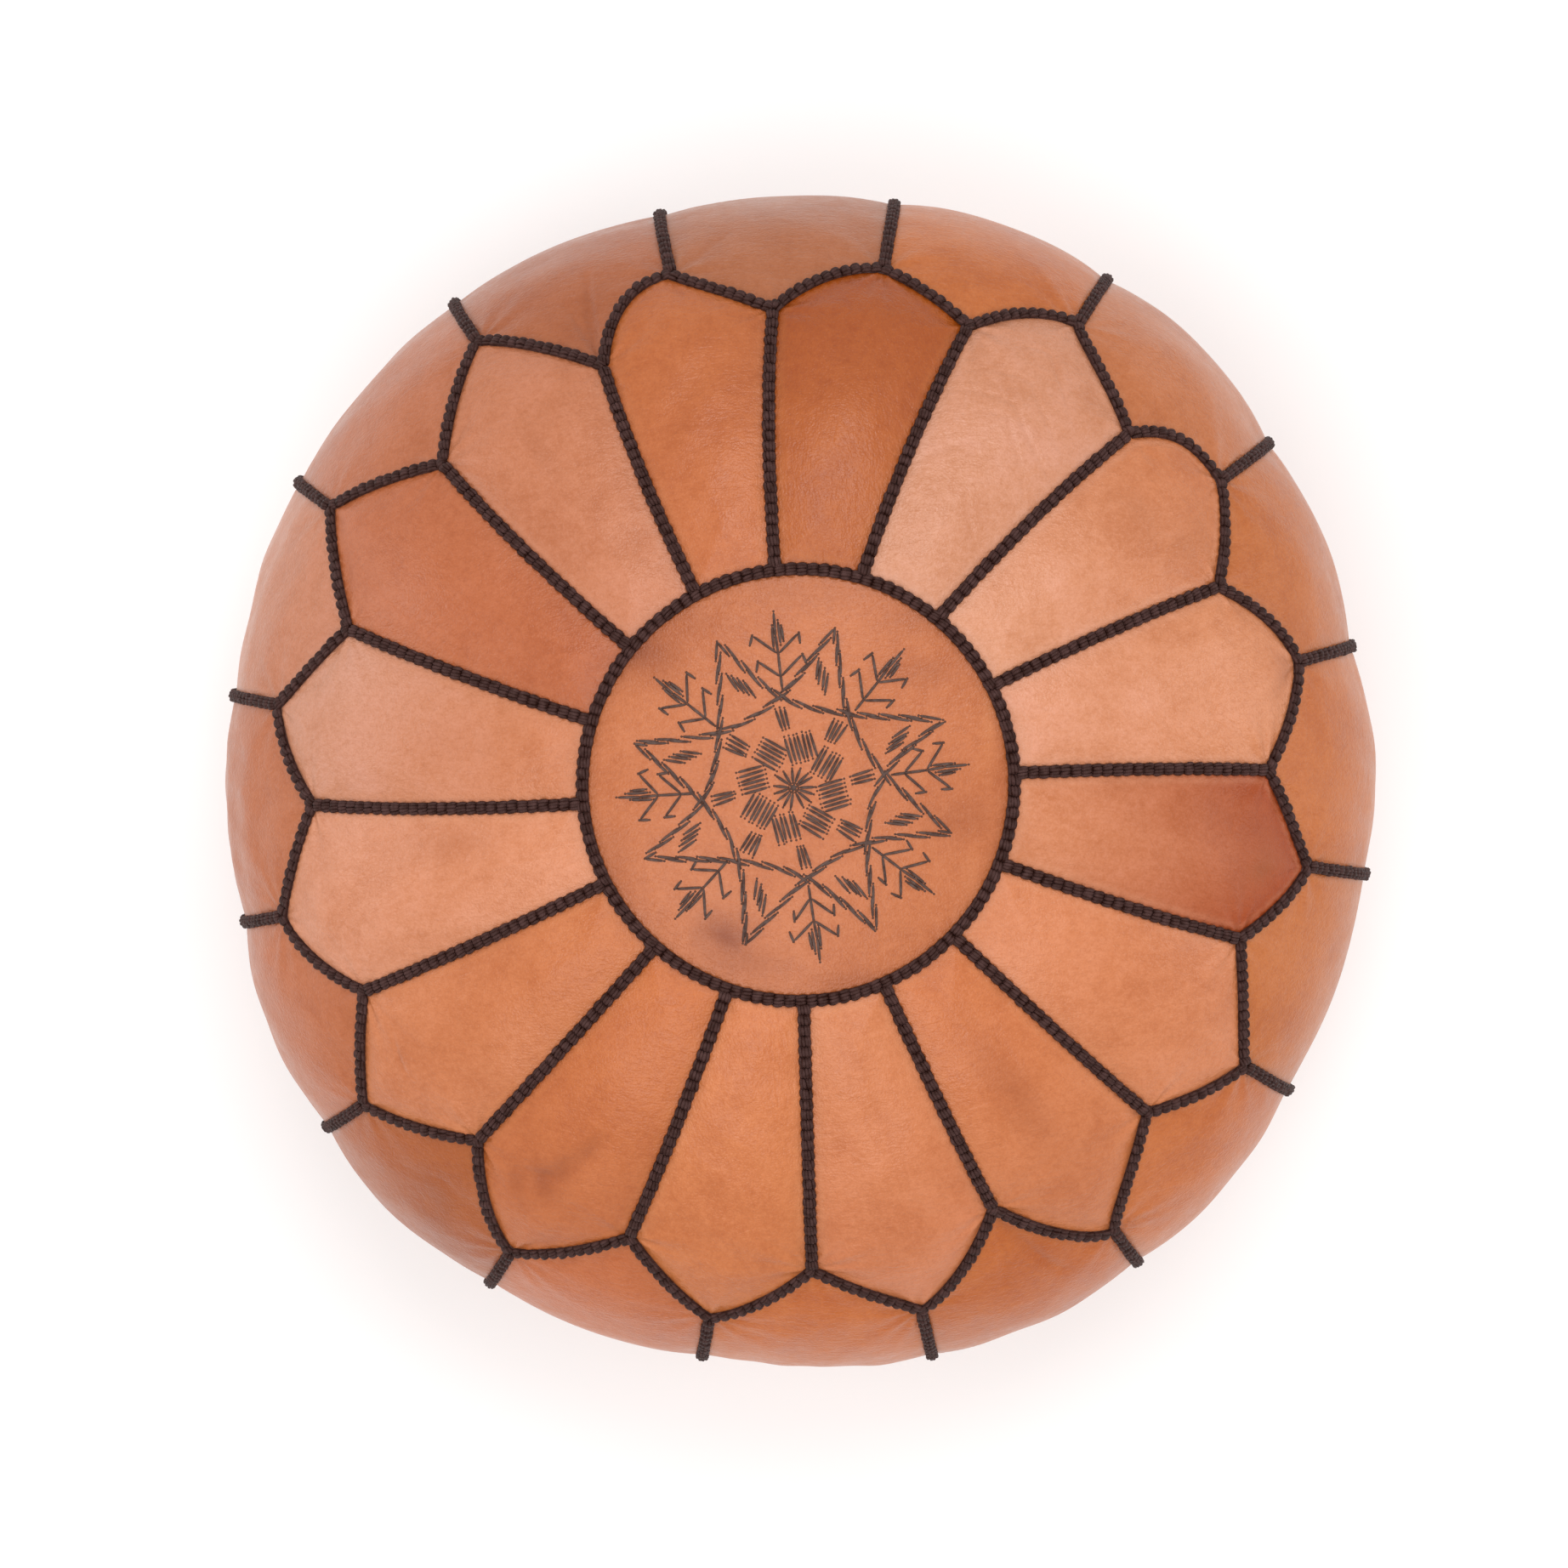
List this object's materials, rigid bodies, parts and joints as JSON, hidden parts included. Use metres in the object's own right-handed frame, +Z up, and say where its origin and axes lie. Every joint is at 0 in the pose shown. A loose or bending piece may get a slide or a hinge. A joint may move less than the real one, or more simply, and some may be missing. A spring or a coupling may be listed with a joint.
{
  "type": "moroccan leather pouf",
  "caption": "Round stuffed leather pouf: petals around an embroidered medallion, scalloped side panels, raised dark braided seams and a zipped flat base.",
  "frame": {"origin": "centre of the flat base, on the floor the pouf rests on", "axes": "+Z up through the embroidered medallion, X along the base's zip, which closes towards +X, Y across it"},
  "size_m": [0.5498, 0.5498, 0.34],
  "materials": {
    "leather_pale": "pale peach vegetable-tanned goat leather, satin, fine grain",
    "leather_tan": "mid orange-tan vegetable-tanned goat leather, satin, fine grain",
    "leather_russet": "darker reddish-brown vegetable-tanned goat leather, satin, fine grain",
    "braid_thread": "thick dark brown waxed thread, worked as a raised braid",
    "cotton_stuffing": "loose off-white cotton and fibre filling",
    "zip_tape": "woven brown zip tape",
    "zip_brass": "antique brass, satin"
  },
  "bodies": {
    "cover": {"medallion": "leather_tan", "petal_01": "leather_russet", "petal_02": "leather_pale", "petal_03": "leather_tan", "petal_04": "leather_pale", "petal_05": "leather_russet", "petal_06": "leather_tan", "petal_07": "leather_tan", "petal_08": "leather_tan", "petal_09": "leather_tan", "petal_10": "leather_tan", "petal_11": "leather_tan", "petal_12": "leather_pale", "petal_13": "leather_pale", "petal_14": "leather_russet", "petal_15": "leather_tan", "petal_16": "leather_tan", "side_panel_01": "leather_russet", "side_panel_02": "leather_tan", "side_panel_03": "leather_tan", "side_panel_04": "leather_tan", "side_panel_05": "leather_tan", "side_panel_06": "leather_tan", "side_panel_07": "leather_tan", "side_panel_08": "leather_tan", "side_panel_09": "leather_tan", "side_panel_10": "leather_tan", "side_panel_11": "leather_russet", "side_panel_12": "leather_tan", "side_panel_13": "leather_tan", "side_panel_14": "leather_tan", "side_panel_15": "leather_tan", "side_panel_16": "leather_tan", "medallion_ring_braid": "braid_thread", "radial_braid_01": "braid_thread", "radial_braid_02": "braid_thread", "radial_braid_03": "braid_thread", "radial_braid_04": "braid_thread", "radial_braid_05": "braid_thread", "radial_braid_06": "braid_thread", "radial_braid_07": "braid_thread", "radial_braid_08": "braid_thread", "radial_braid_09": "braid_thread", "radial_braid_10": "braid_thread", "radial_braid_11": "braid_thread", "radial_braid_12": "braid_thread", "radial_braid_13": "braid_thread", "radial_braid_14": "braid_thread", "radial_braid_15": "braid_thread", "radial_braid_16": "braid_thread", "scallop_and_side_braid": "braid_thread", "base_ring_braid": "braid_thread", "base_rear": "leather_tan", "base_front": "leather_tan", "stuffing": "cotton_stuffing", "zip_tape_rear": "zip_tape", "zip_tape_front": "zip_tape", "zip_end_stop": "zip_brass"},
    "zip_slider": {"zip_slider": "zip_brass"},
    "zip_pull": {"zip_pull": "zip_brass"}
  },
  "joints": [
    {"name": "zip_travel", "type": "slide", "parent": "cover", "child": "zip_slider", "axis": [1, 0, 0], "range_m": [-0.27, 0]},
    {"name": "pull_swing", "type": "hinge", "parent": "zip_slider", "child": "zip_pull", "pos_m": [0.14, 0, 0.0032], "axis": [0, -1, 0], "range_deg": [0, 150]}
  ]
}
